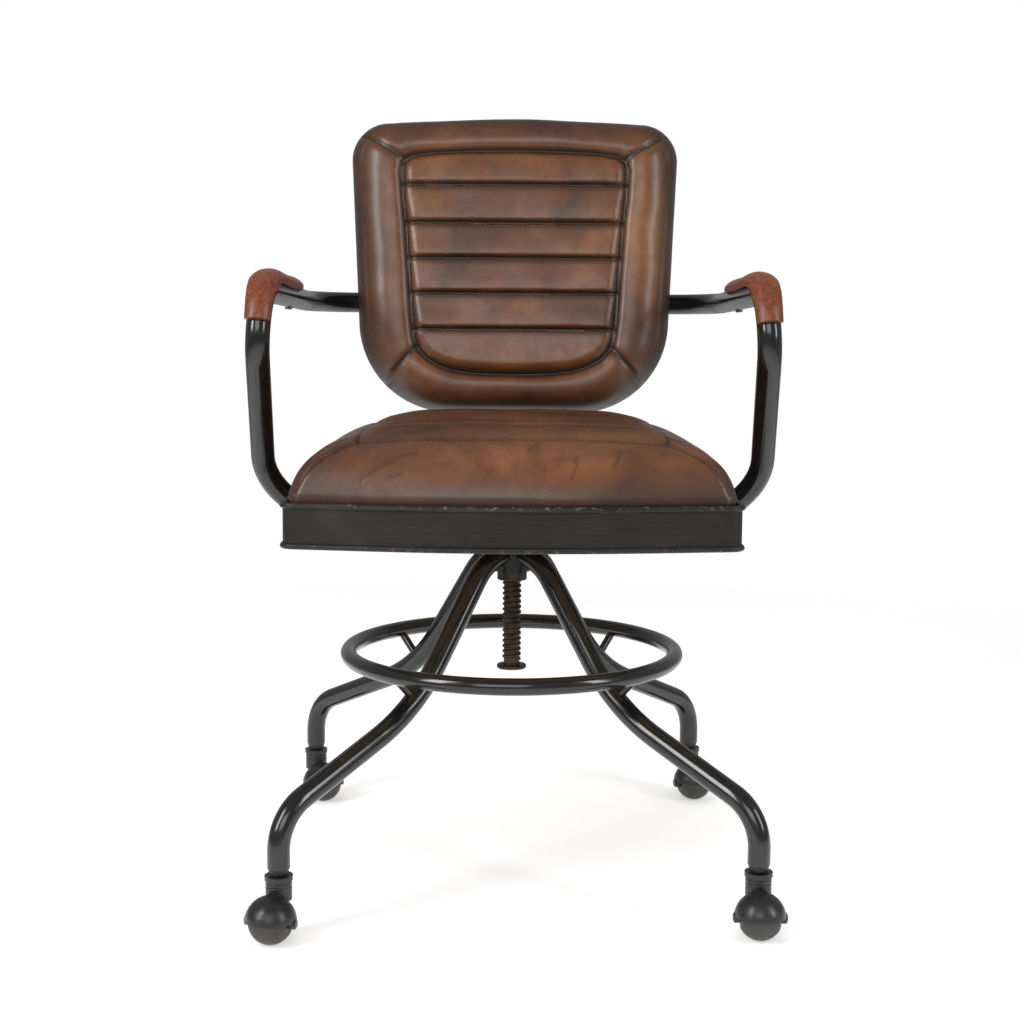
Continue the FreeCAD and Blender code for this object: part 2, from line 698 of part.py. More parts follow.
def seat_pad(name, shrink):
    """A domed pad on the board. Each step of the dome is (height share, inset)."""
    floor = size("plate_bottom") + size("plate_thickness") + size("rail_height")
    floor += size("board_thickness")
    rise = size("seat_crown") - floor
    edge = size("tray_wall") + size("bead_radius") + size("board_gap")
    dome = [
        (0.0, edge), (0.15, edge), (0.28, 5), (0.43, 12), (0.57, 22),
        (0.70, 38), (0.81, 58), (0.91, 88), (1.0, 122),
    ]
    outlines = [
        seat_outline(inset + shrink, floor + share * (rise - shrink)) for share, inset in dome
    ]
    return loft(name, outlines)


def make_seat_cushion():
    outside = seat_pad("seat_cover_outside", 0.0)
    inside = seat_pad("seat_cover_inside", size("leather_thickness"))
    part(cut("seat_cover", outside, inside), "seat_leather")
    part(seat_pad("seat_filling", size("leather_thickness")), "seat_foam")


def back_outline(inset, depth):
    """The back's outline, drawn flat: x across, y up the slope, z forwards through the back."""
    low = size("back_lower_width") - inset
    high = size("back_upper_width") - inset
    top = size("back_height") - inset
    crown = size("back_crown")
    corners = [
        Vector(low, inset, -depth),
        Vector(high, top - crown, -depth),
        Vector(0, top + crown / 3, -depth),
        Vector(-high, top - crown, -depth),
        Vector(-low, inset, -depth),
    ]
    lower = size("back_lower_corner") - 0.4 * inset
    upper = size("back_upper_corner") - 0.2 * inset
    crown_radius = 6 * (high - upper)
    return rounded_outline(corners, [lower, upper, crown_radius, upper, lower])


def on_slope(thing):
    """Leans a piece of the back, drawn flat, into its place above the seat."""
    thing.Placement = Placement(Vector(), Rotation(Vector(1, 0, 0), 90))
    place(thing, "0", "<back_front>", "<back_bottom>")
    return bind(thing, Placement__Rotation__Angle="90 - <back_slope>")


def back_pad(name, shrink, rear):
    """The back's cushion, from its crowned front to the given depth."""
    steps = [(0.0, 62), (0.07, 36), (0.2, 16), (0.4, 3), (0.62, 0), (0.85, 2.5), (1.0, 6)]
    deep = size("back_thickness")
    outlines = []
    for share, inset in steps:
        depth = min(shrink + share * (deep - shrink), rear)
        outlines.append(back_outline(inset + shrink, depth))
    return loft(name, outlines)


def flat_slab(name, inset, depth, thickness):
    """A flat board or panel of the back, from the given depth rearwards."""
    thing = doc.addObject("Part::Extrusion", name)
    thing.Base = fixed_shape(name + "_outline", back_outline(inset, depth))
    thing.DirMode = "Custom"
    thing.Dir = Vector(0, 0, -1)
    thing.Solid = True
    return bind(thing, LengthFwd=thickness)


def make_back(bolt_holes):
    deep = size("back_thickness")
    skin = size("leather_thickness")
    outside = back_pad("back_cover_outside", 0.0, deep)
    inside = back_pad("back_cover_inside", skin, deep)
    part(on_slope(cut("back_cover", outside, inside)), "back_leather")
    board_edge = 6 + 2 * skin
    board_depth = deep - size("back_board_thickness")
    board = flat_slab("back_board_blank", board_edge, board_depth, "<back_board_thickness>")
    filling = back_pad("back_filling_bulk", skin, deep)
    part(on_slope(cut("back_filling", filling, board)), "back_foam")
    part(on_slope(cut("back_board_drilled", board, bolt_holes)), "back_board")
    panel = flat_slab("back_panel_blank", 6, deep, "<back_panel_thickness>")
    part(on_slope(cut("back_panel_drilled", panel, bolt_holes)), "back_panel")


# ---------------------------------------------------------------- arm hoop


def hoop_points():
    """The hoop's corners from the left foot round to the right foot."""
    rear = hoop_rear()
    side = size("tray_half_width")
    elbow_back = size("arm_foot_back") - size("arm_elbow_ahead")
    half = [
        Vector(side - size("arm_foot_sunk"), size("arm_foot_back"), size("arm_foot_up")),
        Vector(side + size("arm_elbow_out"), elbow_back, size("arm_elbow_up")),
        Vector(side + size("arm_front_out"), -size("arm_front"), size("arm_front_up")),
        Vector(side + size("arm_front_out"), rear, size("hoop_back_up")),
    ]
    left = [Vector(-p.x, p.y, p.z) for p in half]
    return left + half[::-1]


def hoop_rear():
    """How far behind the axis the hoop's rear run lies: against the plates on the back."""
    slope = math.radians(size("back_slope"))
    depth = size("back_thickness") + size("back_panel_thickness") + size("back_plate_thickness")
    rise = size("hoop_back_up") - size("back_bottom")
    return (
        size("back_front") + rise * math.tan(slope)
        + (depth + size("arm_radius")) / math.cos(slope)
    )


def make_hoop_tube():
    """One long bent tube: side of the tray, armrest, behind the back, armrest, side of the tray."""
    bends = [size(b) for b in ("elbow_bend", "front_bend", "rear_bend")]
    path = rounded_path("hoop_path", hoop_points(), bends + bends[::-1])
    outside = pipe("hoop_outside", path, "<arm_radius>")
    inside = pipe("hoop_inside", path, "<arm_radius> - <arm_wall>")
    return cut("hoop_tube", outside, inside), outside


def make_back_plates():
    """Two flat plates between hoop and back, and the bolts through them, drawn on the back."""
    skin = "<back_thickness> + <back_panel_thickness>"
    rise = (size("hoop_back_up") - size("back_bottom")) / math.cos(math.radians(size("back_slope")))
    grip = "<back_board_thickness> + <back_panel_thickness> + <back_plate_thickness>"
    bolts, holes, plates = [], [], {}
    for side, sign in SIDES.items():
        across_back = f"{sign} * <back_plate_spacing> / 2"
        plates[side] = box(
            f"back_plate_{side}_blank", "<back_plate_width>", "<back_plate_height>",
            "<back_plate_thickness>", f"{across_back} - <back_plate_width> / 2",
            f"{rise} - <back_plate_height> / 2", f"-({skin}) - <back_plate_thickness>",
        )
        for level, step in (("lower", -1), ("upper", 1)):
            name = f"back_bolt_{side}_{level}"
            along = f"{rise} + {step} * <back_bolt_spacing> / 2"
            base = f"-({skin}) - <back_plate_thickness>"
            shank = cylinder(name + "_shank", "<back_bolt_radius>", grip, base, across_back, along)
            head = cylinder(name + "_head", "<back_bolt_head>", "3", f"{base} - 3",
                            across_back, along)
            bolts.append(fuse(name, [head, shank]))
            holes.append(shank)
    drilled = fuse("back_bolt_holes", holes)
    part(on_slope(group("back_bolt_group", bolts)), "back_bolts")
    for side in SIDES:
        plate = cut(f"back_plate_{side}", plates[side], drilled)
        part(on_slope(plate), f"back_plate_{side}")
    return drilled


# ---------------------------------------------------------------- wooden armrests


def cap_section(origin, along, up, share):
    """The armrest's section, square to its run: flat-bottomed, with a rounded top."""
    side = along.cross(up).normalize()
    low = size("cap_bottom")
    wide = size("cap_half_width") * share
    top = low + (size("cap_top") - low) * share
    shoulder = low + 0.45 * (top - low)

    def at(x, z):
        return origin + side * x + up * z

    return Part.Wire([
        Part.makeLine(at(-wide, low), at(wide, low)),
        Part.makeLine(at(wide, low), at(wide, shoulder)),
        Part.Arc(at(wide, shoulder), at(0, top), at(-wide, shoulder)).toShape(),
        Part.makeLine(at(-wide, shoulder), at(-wide, low)),
    ])


def cap_screw(name, point, up):
    """A pan-headed screw through the tube into the armrest, drawn about its own axis."""
    under = "-<arm_radius>"
    low = f"{under} - <cap_screw_head_height>"
    tip = "<cap_top> - <cap_screw_cover>"
    corners = [
        ("0", low),
        ("<cap_screw_head> - 1.2", low),
        ("<cap_screw_head>", f"{low} + 1.2"),
        ("<cap_screw_head>", under),
        ("<cap_screw_radius>", under),
        ("<cap_screw_radius>", tip),
        ("0", tip),
    ]
    screw = turned(name, corners)
    screw.Placement = Placement(point, Rotation(UP, up))
    return screw


def make_cap(side, sign, hoop_solid):
    """A wooden armrest along the top of the hoop and down over its front bend, and its screws."""
    elbow, front, rear = sorted((p for p in hoop_points()[1:-1] if p.x * sign > 0),
                                key=lambda p: (p.y > 0, p.z))
    down = (elbow - front).normalize()
    back = (rear - front).normalize()
    half = down.getAngle(back) / 2
    bend = size("front_bend")
    centre = front + (down + back).normalize() * (bend / math.sin(half))
    start = front + back * (bend / math.tan(half))
    spoke = start - centre
    axis = spoke.cross(back).normalize()
    run = (size("cap_rear") - start.y) / back.y

    # (share of the front sweep, share of the full section), from the front tip upwards
    over_bend = [(1.0, 0.84), (0.86, 0.87), (0.6, 0.95), (0.3, 1.0)]
    # (distance short of the rear end, share of the full section)
    along_run = [(run, 1.0), (0.6 * run, 1.0), (40, 1.0), (15, 0.95), (5, 0.84), (0, 0.68)]
    sections = []
    for turn_share, share in over_bend:
        turn = Rotation(axis, -size("cap_front_sweep") * turn_share)
        out = turn.multVec(spoke)
        sections.append(
            cap_section(centre + out, turn.multVec(back), Vector(out).normalize(), share)
        )
    up = Vector(spoke).normalize()
    for short, share in along_run:
        sections.append(cap_section(start + back * (run - short), back, up, share))

    name = f"cap_{side}"
    screws = [
        cap_screw(f"{name}_screw_{spot}", start + back * run * share, up)
        for spot, share in (("front", 0.12), ("rear", 0.88))
    ]
    screws = part(group(name + "_screws", screws), f"arm_cap_screws_{side}")
    carved = cut(name + "_carved", loft(name + "_blank", sections), hoop_solid)
    part(cut(name, carved, screws), f"arm_cap_{side}")
    return screws


def main():
    make_hub()
    make_nut()
    make_spindle()
    make_stop()
    make_ring()
    for corner, angle in LEGS.items():
        make_leg(corner, angle)
        make_caster(corner, angle)
    tray, tray_block, beads = make_tray()
    make_seat_frame(tray)
    make_seat_cushion()
    make_back(make_back_plates())
    hoop_tube, hoop_solid = make_hoop_tube()
    screws = [make_cap(side, sign, hoop_solid) for side, sign in SIDES.items()]
    cope = fuse("hoop_cope", [tray_block, *beads, *screws])
    part(cut("hoop", hoop_tube, cope), "arm_hoop")
    doc.recompute()


main()

for thing in doc.Objects:
    if any(state in thing.State for state in ("Invalid", "Error")):
        raise RuntimeError(f"{thing.Name} ({thing.Label}) failed: {thing.State}")
for thing in parts:
    if thing.Shape.isNull() or not thing.Shape.isValid() or thing.Shape.Volume <= 0:
        raise RuntimeError(f"{thing.Label} has no sound shape")

os.makedirs("parts", exist_ok=True)
for thing in parts:
    thing.Shape.exportStep(f"parts/{thing.Label}.step")
print(len(parts), "sub-parts written")
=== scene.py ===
import json
import math

import bpy
import numpy as np
from mathutils import Matrix, Vector


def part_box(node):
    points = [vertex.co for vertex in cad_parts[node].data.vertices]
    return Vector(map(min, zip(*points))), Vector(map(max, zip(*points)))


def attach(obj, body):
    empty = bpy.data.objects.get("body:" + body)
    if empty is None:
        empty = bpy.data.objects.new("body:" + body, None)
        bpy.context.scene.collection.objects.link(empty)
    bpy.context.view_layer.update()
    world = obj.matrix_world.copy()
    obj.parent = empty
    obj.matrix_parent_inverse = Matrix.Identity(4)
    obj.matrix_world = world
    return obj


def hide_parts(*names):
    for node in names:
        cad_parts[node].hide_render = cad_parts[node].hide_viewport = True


# Swivel office chair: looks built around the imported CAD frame. Metres, +Z up, the sitter faces -Y.
# Outlines and reliefs are worked in millimetres and turned into metres when a mesh is made.

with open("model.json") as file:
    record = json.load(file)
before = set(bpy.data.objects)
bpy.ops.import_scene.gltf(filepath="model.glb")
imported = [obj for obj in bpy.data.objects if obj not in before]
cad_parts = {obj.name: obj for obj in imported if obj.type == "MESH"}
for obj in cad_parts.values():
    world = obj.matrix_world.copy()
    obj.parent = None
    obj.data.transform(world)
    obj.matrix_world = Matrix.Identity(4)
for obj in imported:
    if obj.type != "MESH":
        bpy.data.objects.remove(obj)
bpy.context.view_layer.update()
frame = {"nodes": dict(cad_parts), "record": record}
MM = 0.001
GRID = 276
SETTLE_ROUNDS = 60


# ---------------------------------------------------------------- materials

# Where worn marks lie, in metres: the tray's middle height and how far its edges are from it,
# and the heights between which the armrests' front tips wear pale.
TRAY_MIDDLE = 0.40625
TRAY_EDGE = (0.0185, 0.0215)
CAP_TIP = (0.59, 0.614)


class Shader:
    """A Principled material with short calls for the nodes that drive it."""

    def __init__(self, name, **constants):
        self.material = bpy.data.materials.new(name)
        self.material.use_nodes = True
        self.tree = self.material.node_tree
        self.surface = self.tree.nodes["Principled BSDF"]
        for socket, value in constants.items():
            self.surface.inputs[socket.replace("_", " ")].default_value = value
        self.place = self.tree.nodes.new("ShaderNodeTexCoord").outputs["Object"]

    def node(self, kind, **settings):
        node = self.tree.nodes.new("ShaderNode" + kind)
        for key, value in settings.items():
            setattr(node, key, value)
        return node

    def link(self, output, target):
        self.tree.links.new(output, target)

    def feed(self, socket, value):
        """Gives a socket a number, a colour or another node's output."""
        if isinstance(value, (int, float)):
            socket.default_value = value
        elif isinstance(value, tuple):
            socket.default_value = (*value, 1.0)
        else:
            self.link(value, socket)

    def stretched(self, scale):
        node = self.node("Mapping")
        node.inputs["Scale"].default_value = scale
        self.link(self.place, node.inputs["Vector"])
        return node.outputs["Vector"]

    def noise(self, scale, detail=4.0, rough=0.55, stretch=(1, 1, 1), distortion=0.0):
        node = self.node("TexNoise")
        node.inputs["Scale"].default_value = scale
        node.inputs["Detail"].default_value = detail
        node.inputs["Roughness"].default_value = rough
        node.inputs["Distortion"].default_value = distortion
        self.link(self.stretched(stretch), node.inputs["Vector"])
        return node.outputs["Fac"]

    def cells(self, scale):
        node = self.node("TexVoronoi", feature="F1")
        node.inputs["Scale"].default_value = scale
        self.link(self.place, node.inputs["Vector"])
        return node.outputs["Distance"]

    def attribute(self, name):
        return self.node("Attribute", attribute_name=name).outputs["Fac"]

    def ramp(self, value, stops):
        node = self.node("ValToRGB")
        elements = node.color_ramp.elements
        while len(elements) < len(stops):
            elements.new(0.5)
        for element, (position, colour) in zip(elements, stops):
            element.position = position
            element.color = (*colour, 1.0)
        self.link(value, node.inputs["Fac"])
        return node.outputs["Color"]

    def spread(self, value, low, high, start=0.3, end=0.7):
        node = self.node("MapRange")
        for socket, number in zip(
            ("From Min", "From Max", "To Min", "To Max"), (start, end, low, high)
        ):
            node.inputs[socket].default_value = number
        self.link(value, node.inputs["Value"])
        return node.outputs["Result"]

    def mix(self, factor, first, second):
        node = self.node("Mix", data_type="RGBA")
        # 0, 6, 7 and output 2 are a Mix node's sockets for colours
        for index, value in ((0, factor), (6, first), (7, second)):
            self.feed(node.inputs[index], value)
        return node.outputs[2]

    def combine(self, operation, *values):
        node = self.node("Math", operation=operation)
        for socket, value in zip(node.inputs, values):
            self.feed(socket, value)
        return node.outputs[0]

    def height(self):
        node = self.node("SeparateXYZ")
        self.link(self.place, node.inputs[0])
        return node.outputs["Z"]

    def colour(self, output):
        self.link(output, self.surface.inputs["Base Color"])

    def roughness(self, value, low, high):
        self.link(self.spread(value, low, high), self.surface.inputs["Roughness"])

    def bumps(self, *layers):
        """Each layer is (height, strength, distance in metres)."""
        normal = None
        for height, strength, distance in layers:
            node = self.node("Bump")
            node.inputs["Strength"].default_value = strength
            node.inputs["Distance"].default_value = distance
            self.link(height, node.inputs["Height"])
            if normal:
                self.link(normal, node.inputs["Normal"])
            normal = node.outputs["Normal"]
        self.link(normal, self.surface.inputs["Normal"])


def leather():
    """Brown leather of random tone, pale on the crowns; a per-point attribute darkens it to
    near-black: painted shade in the seams, grooves and rolled-off sides, with burnish on the edges.
    """
    look = Shader("burnished_leather_painted_shade", Specular_IOR_Level=0.55, Coat_Weight=0.22,
               Coat_Roughness=0.24)
    clouds = look.noise(9.0, detail=6.0, rough=0.62, distortion=0.5)
    fine = look.noise(60.0, detail=5.0, rough=0.7)
    base = look.ramp(clouds, [(0.3, (0.05, 0.016, 0.005)), (0.5, (0.128, 0.042, 0.012)),
                           (0.72, (0.225, 0.08, 0.023))])
    mottled = look.mix(look.spread(fine, 0.0, 0.4, 0.45, 0.75), base, (0.045, 0.015, 0.005))
    # near-black mixed in by the per-point attribute: painted shade in seams, grooves and rolled-off
    # sides, with burnish on the edges
    burnished_and_shaded = look.mix(look.attribute("burnish_and_painted_shade"), mottled, (0.008, 0.0035, 0.002))
    look.colour(burnished_and_shaded)
    look.roughness(fine, 0.34, 0.46)
    look.bumps((look.cells(620.0), 0.2, 0.0004), (look.noise(1500.0, 2.0), 0.1, 0.0002),
            (look.noise(34.0, 4.0, distortion=0.8), 0.16, 0.0012))
    return look.material


def enamel(name, dark, light, rough):
    """Dark stoved enamel on metal, a little uneven in colour, roughness and surface."""
    look = Shader(name, Specular_IOR_Level=0.45, Coat_Weight=0.4, Coat_Roughness=0.08)
    patches = look.noise(26.0, detail=5.0, rough=0.6)
    look.colour(look.ramp(patches, [(0.35, dark), (0.7, light)]))
    look.roughness(look.noise(90.0, 4.0), rough - 0.04, rough + 0.05)
    look.bumps((look.noise(160.0, 3.0), 0.05, 0.0002))
    return look.material


def tray_sheet():
    """Satin grey-brown sheet with faint brushing along it, scuffed at its edges."""
    look = Shader("tray_sheet", Metallic=0.25, Specular_IOR_Level=0.34)
    patches = look.noise(7.0, detail=7.0, rough=0.65, distortion=0.4)
    brushed = look.noise(40.0, detail=4.0, stretch=(0.6, 0.6, 16))
    tone = look.ramp(patches, [(0.3, (0.011, 0.0098, 0.009)), (0.55, (0.021, 0.0185, 0.017)),
                            (0.75, (0.04, 0.035, 0.031))])
    streaked = look.mix(look.spread(brushed, 0.0, 0.22), tone, (0.06, 0.053, 0.048))
    from_middle = look.combine("ABSOLUTE", look.combine("SUBTRACT", look.height(), TRAY_MIDDLE))
    scuffs = look.combine("MULTIPLY", look.spread(from_middle, 0.0, 1.0, *TRAY_EDGE),
                       look.spread(look.noise(190.0, 6.0, 0.7), 0.0, 0.8, 0.56, 0.68))
    look.colour(look.mix(scuffs, streaked, (0.2, 0.18, 0.16)))
    look.roughness(patches, 0.34, 0.5)
    look.bumps((brushed, 0.1, 0.0003), (look.noise(600.0, 2.0), 0.05, 0.0001))
    return look.material


def steel(name, dark, light, rough):
    look = Shader(name, Metallic=0.9)
    patches = look.noise(70.0, detail=6.0, rough=0.7)
    look.colour(look.ramp(patches, [(0.35, dark), (0.68, light)]))
    look.roughness(patches, rough - 0.1, rough + 0.12)
    look.bumps((look.noise(900.0, 3.0), 0.15, 0.0002))
    return look.material


def plastic(name, dark, light, rough):
    look = Shader(name, Specular_IOR_Level=0.5)
    look.colour(look.ramp(look.noise(45.0, 4.0), [(0.35, dark), (0.7, light)]))
    look.roughness(look.noise(160.0, 3.0), rough - 0.06, rough + 0.1)
    look.bumps((look.noise(1800.0, 2.0), 0.12, 0.0002))
    return look.material


def arm_wood():
    """Reddish wood with grain along Y, worn pale at the lower front tips."""
    look = Shader("arm_wood", Specular_IOR_Level=0.4, Coat_Weight=0.12, Coat_Roughness=0.28)
    grain = look.noise(26.0, detail=8.0, rough=0.68, stretch=(9, 1.2, 9), distortion=1.2)
    pores = look.noise(120.0, detail=3.0, stretch=(12, 1.0, 12))
    tone = look.ramp(grain, [(0.32, (0.08, 0.018, 0.007)), (0.52, (0.175, 0.044, 0.017)),
                          (0.7, (0.27, 0.08, 0.03))])
    pored = look.mix(look.spread(pores, 0.0, 0.4, 0.55, 0.75), tone, (0.035, 0.01, 0.005))
    worn = look.combine("MULTIPLY", look.spread(look.height(), 1.0, 0.0, *CAP_TIP),
                     look.spread(look.noise(55.0, 5.0), 0.0, 0.85, 0.42, 0.66))
    look.colour(look.mix(worn, pored, (0.42, 0.21, 0.13)))
    look.roughness(grain, 0.32, 0.46)
    look.bumps((grain, 0.12, 0.0006), (pores, 0.1, 0.0002))
    return look.material


def plywood():
    look = Shader("plywood", Roughness=0.7)
    layers = look.noise(10.0, detail=6.0, stretch=(1, 6, 40))
    look.colour(look.ramp(layers, [(0.35, (0.32, 0.2, 0.1)), (0.65, (0.62, 0.45, 0.27))]))
    look.bumps((layers, 0.2, 0.0004))
    return look.material


def thread():
    look = Shader("seam_thread", Roughness=0.75)
    twist = look.noise(2600.0, 2.0)
    look.colour(look.ramp(twist, [(0.3, (0.1, 0.042, 0.018)), (0.7, (0.3, 0.15, 0.07))]))
    look.bumps((twist, 0.3, 0.0002))
    return look.material


LEATHER = leather()
THREAD = thread()
FINISHES = {
    "dark_metal": enamel("tube_enamel", (0.0045, 0.004, 0.0038), (0.0085, 0.0078, 0.0072), 0.2),
    "tray_metal": tray_sheet(),
    "worn_steel": steel("worn_steel", (0.018, 0.015, 0.013), (0.11, 0.085, 0.066), 0.46),
    "zinc_steel": steel("dark_zinc", (0.05, 0.05, 0.052), (0.2, 0.2, 0.21), 0.36),
    "leather": LEATHER,
    "foam": plastic("foam", (0.55, 0.5, 0.36), (0.7, 0.64, 0.48), 0.85),
    "plywood": plywood(),
    "arm_wood": arm_wood(),
    "black_plastic": plastic("socket_plastic", (0.008, 0.008, 0.008), (0.02, 0.02, 0.02), 0.42),
    "hood_plastic": plastic("hood_plastic", (0.009, 0.009, 0.01), (0.022, 0.022, 0.024), 0.32),
    "caster_ball": plastic("caster_ball", (0.022, 0.021, 0.02), (0.048, 0.046, 0.043), 0.48),
}
for entry in frame["record"]["subparts"]:
    node = frame["nodes"][entry["node"]]
    node.data.materials.clear()
    node.data.materials.append(FINISHES[entry["material_slot"]])


# ---------------------------------------------------------------- outlines


def rounded(corners, radii, step=1.5):
    """A closed outline through rounded corners, and the index of each corner's middle point."""
    corners = [np.array(c, float) for c in corners]
    points, middles = [], []
    for index, (corner, radius) in enumerate(zip(corners, radii)):
        back = corners[index - 1] - corner
        ahead = corners[(index + 1) % len(corners)] - corner
        back, ahead = back / np.linalg.norm(back), ahead / np.linalg.norm(ahead)
        half = math.acos(float(np.clip(back @ ahead, -1, 1))) / 2
        inward = (back + ahead) / np.linalg.norm(back + ahead)
        centre = corner + inward * radius / math.sin(half)
        start = corner + back * radius / math.tan(half) - centre
        end = corner + ahead * radius / math.tan(half) - centre
        first = math.atan2(start[1], start[0])
        turn = (math.atan2(end[1], end[0]) - first + math.pi) % (2 * math.pi) - math.pi
        count = max(9, int(abs(turn) * radius / step)) | 1
        middles.append(len(points) + count // 2)
        for share in np.linspace(0, 1, count):
            angle = first + turn * share
            points.append(centre + radius * np.array([math.cos(angle), math.sin(angle)]))
    dense, where = [], {}
    for index, point in enumerate(points):
        where[index] = len(dense)
        gap = points[(index + 1) % len(points)] - point
        for share in np.arange(0, 1, step / max(step, np.linalg.norm(gap))):
            dense.append(point + gap * share)
    return np.array(dense), [where[m] for m in middles]


def between(outline, first, last, shares):
    """Points at the given shares of the way from one outline index round to another."""
    indices = np.arange(first, last if last > first else last + len(outline)) % len(outline)
    run = np.vstack([outline[indices], outline[last]])
    steps = np.r_[0, np.cumsum(np.linalg.norm(np.diff(run, axis=0), axis=1))]
    along = np.asarray(shares) * steps[-1]
    return np.c_[np.interp(along, steps, run[:, 0]), np.interp(along, steps, run[:, 1])]


def inside_distance(points, outline):
    """How far each point lies from the outline's nearest side."""
    sides = np.roll(outline, -1, axis=0) - outline
    lengths = np.maximum((sides**2).sum(axis=1), 1e-9)
    found = np.empty(len(points))
    for start in range(0, len(points), 2000):
        block = points[start:start + 2000]
        nearest = np.linalg.norm(block[:, None, :] - outline[None, :, :], axis=2).argmin(axis=1)
        gaps = []
        for index in (nearest, nearest - 1):
            offset = block - outline[index]
            share = np.clip((offset * sides[index]).sum(axis=1) / lengths[index], 0, 1)
            gaps.append(np.linalg.norm(offset - share[:, None] * sides[index], axis=1))
        found[start:start + 2000] = np.minimum(*gaps)
    return found


def to_line(points, line):
    """Distance of each point from a polyline."""
    best = np.full(len(points), 1e9)
    for start, end in zip(line[:-1], line[1:]):
        start, end = np.array(start, float), np.array(end, float)
        run = end - start
        share = np.clip(((points - start) @ run) / np.linalg.norm(run) ** 2, 0, 1)
        gap = np.linalg.norm(points - (start + share[:, None] * run), axis=1)
        best = np.minimum(best, gap)
    return best


def both_sides(start, end):
    """The same straight line left and right of the middle."""
    return [[(side * start[0], start[1]), (side * end[0], end[1])] for side in (-1, 1)]


# ---------------------------------------------------------------- padded leather

# Thread along the seams, in metres: how far apart stitches are, how long, and how thick.
STITCH_SPACING, STITCH_LENGTH = 0.0052, 0.0033
SEAT_THREAD, BACK_THREAD = 0.0003, 0.00042
RAY_RISE = 0.06
CUSHION_CROWD, PANEL_CROWD = 1.15, 1.2


def add_object(name, data):
    """Puts a mesh, lamp or camera into the scene."""
    made = bpy.data.objects.new(name, data)
    bpy.context.scene.collection.objects.link(made)
    return made


def smooth_mesh(name, vertices, faces, material):
    mesh = bpy.data.meshes.new(name)
    mesh.from_pydata(vertices, [], faces)
    mesh.materials.append(material)
    for polygon in mesh.polygons:
        polygon.use_smooth = True
    return mesh


def square_grid(count):
    """Grid points of a square in rings: ring share, side and share along that side."""
    line = np.linspace(-1, 1, count + 1)
    u, v = np.meshgrid(line, line, indexing="xy")
    ring = np.maximum(np.abs(u), np.abs(v))
    safe = np.maximum(ring, 1e-9)
    a, b = u / safe, v / safe
    front = b <= -np.maximum(np.abs(a), 1 - 1e-9)
    right = (a >= 1 - 1e-9) & ~front
    rear = (b >= 1 - 1e-9) & ~front & ~right
    side = np.select([front, right, rear], [0, 1, 2], 3)
    share = np.select([side == 0, side == 1, side == 2], [(a + 1) / 2, (b + 1) / 2, (1 - a) / 2],
                      (1 - b) / 2)
    return ring, side, share


def spread_grid(outline, corners, centre, crowd):
    """Plan position of every grid point: rings shrink from the outline to the centre."""
    ring, side, share = square_grid(GRID)
    edge = np.zeros((GRID + 1, GRID + 1, 2))
    for number in range(4):
        chosen = side == number
        edge[chosen] = between(outline, corners[number], corners[(number + 1) % 4], share[chosen])
    reach = 1 - (1 - ring) ** crowd
    return (centre + reach[..., None] * (edge - centre)).reshape(-1, 2)


def settle(values, rounds):
    """Evens out a height field over the grid, keeping its rim."""
    field = values.reshape(GRID + 1, GRID + 1).copy()
    for _ in range(rounds):
        inner = (field[:-2, 1:-1] + field[2:, 1:-1] + field[1:-1, :-2] + field[1:-1, 2:]) / 4
        field[1:-1, 1:-1] = 0.5 * field[1:-1, 1:-1] + 0.5 * inner
    return field.ravel()


def rim_loop():
    """Indices of the grid's rim, in order round it."""
    n = GRID + 1
    return (list(range(n)) + [i * n + n - 1 for i in range(1, n)]
            + [(n - 1) * n + i for i in range(n - 2, -1, -1)]
            + [i * n for i in range(n - 2, 0, -1)])


def pad_mesh(name, points, walls, burnish_and_painted_shade):
    """A mesh of the grid, with wall loops going down from its rim and a closed underside."""
    n = GRID + 1
    faces = [(r * n + c, r * n + c + 1, (r + 1) * n + c + 1, (r + 1) * n + c)
             for r in range(GRID) for c in range(GRID)]
    loop = rim_loop()
    vertices = [points]
    shade = [burnish_and_painted_shade]
    start = len(points)
    for wall, dark in walls:
        here = list(range(start, start + len(wall)))
        for i in range(len(loop)):
            j = (i + 1) % len(loop)
            faces.append((loop[j], loop[i], here[i], here[j]))
        loop = here
        vertices.append(wall)
        shade.append(np.full(len(wall), dark))
        start += len(wall)
    faces.append(tuple(loop[::-1]))
    mesh = smooth_mesh(name, (np.vstack(vertices) * MM).tolist(), faces, LEATHER)
    # per-point darkening of the leather: painted shade in seams, grooves and on the walls, with
    # burnish on the edges
    mesh.attributes.new("burnish_and_painted_shade", "FLOAT", "POINT")
    values = np.concatenate(shade).astype(np.float32)
    mesh.attributes["burnish_and_painted_shade"].data.foreach_set("value", values)
    mesh.update()
    return add_object(name, mesh)


def fall(gap, width, power):
    """1 on a line, falling to nothing away from it."""
    return np.exp(-(np.abs(gap / width) ** power))


def groove(gap, depth, width):
    return depth * fall(gap, width, 1.25)


def lip(share, height):
    """A channel whose lower edge overhangs the seam beneath it and which sinks towards its top."""
    return height * (1 - 0.85 * np.clip(share, 0, 1) ** 1.3) * np.clip(share / 0.1, 0, 1) ** 0.6


def pillow(share, height, fullness=2.6):
    """A soft roll between two seams, for a share of the way from one to the other."""
    return height * (1 - np.abs(2 * share - 1) ** fullness)


